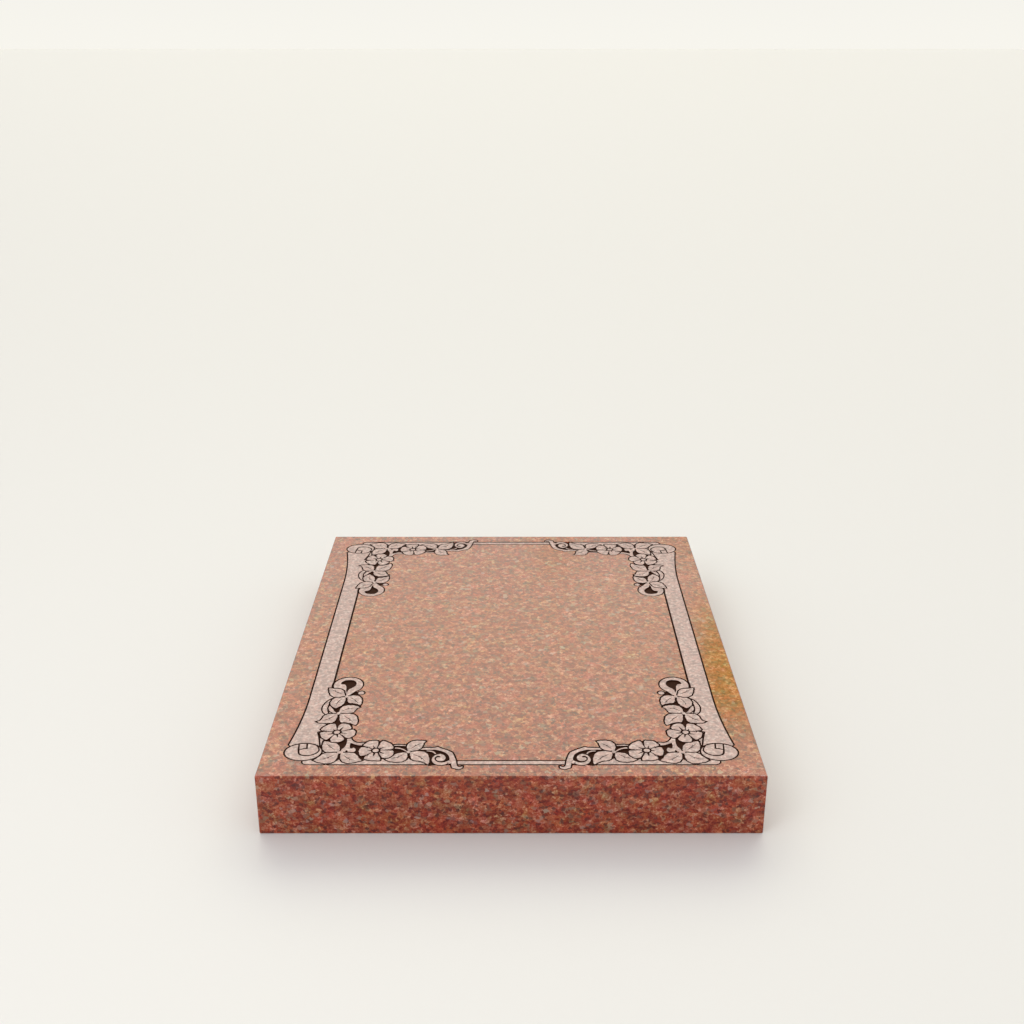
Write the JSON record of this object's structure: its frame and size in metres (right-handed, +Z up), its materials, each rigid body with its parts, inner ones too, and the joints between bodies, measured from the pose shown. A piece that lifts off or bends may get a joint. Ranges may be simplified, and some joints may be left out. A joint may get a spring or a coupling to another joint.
{
  "type": "half ledger memorial",
  "caption": "Flat rectangular granite grave slab with a polished panel inside a border of cut scrolls, leaves and flowers.",
  "frame": {"origin": "middle of the flat underside, on the ground", "axes": "+Z up through the slab to its polished top, +Y along the slab's length away from the viewer, +X to the viewer's right"},
  "size_m": [0.762, 0.9144, 0.1016],
  "materials": {
    "granite": "polished"
  },
  "bodies": {
    "root": {"ledger_slab": "granite"}
  },
  "joints": []
}
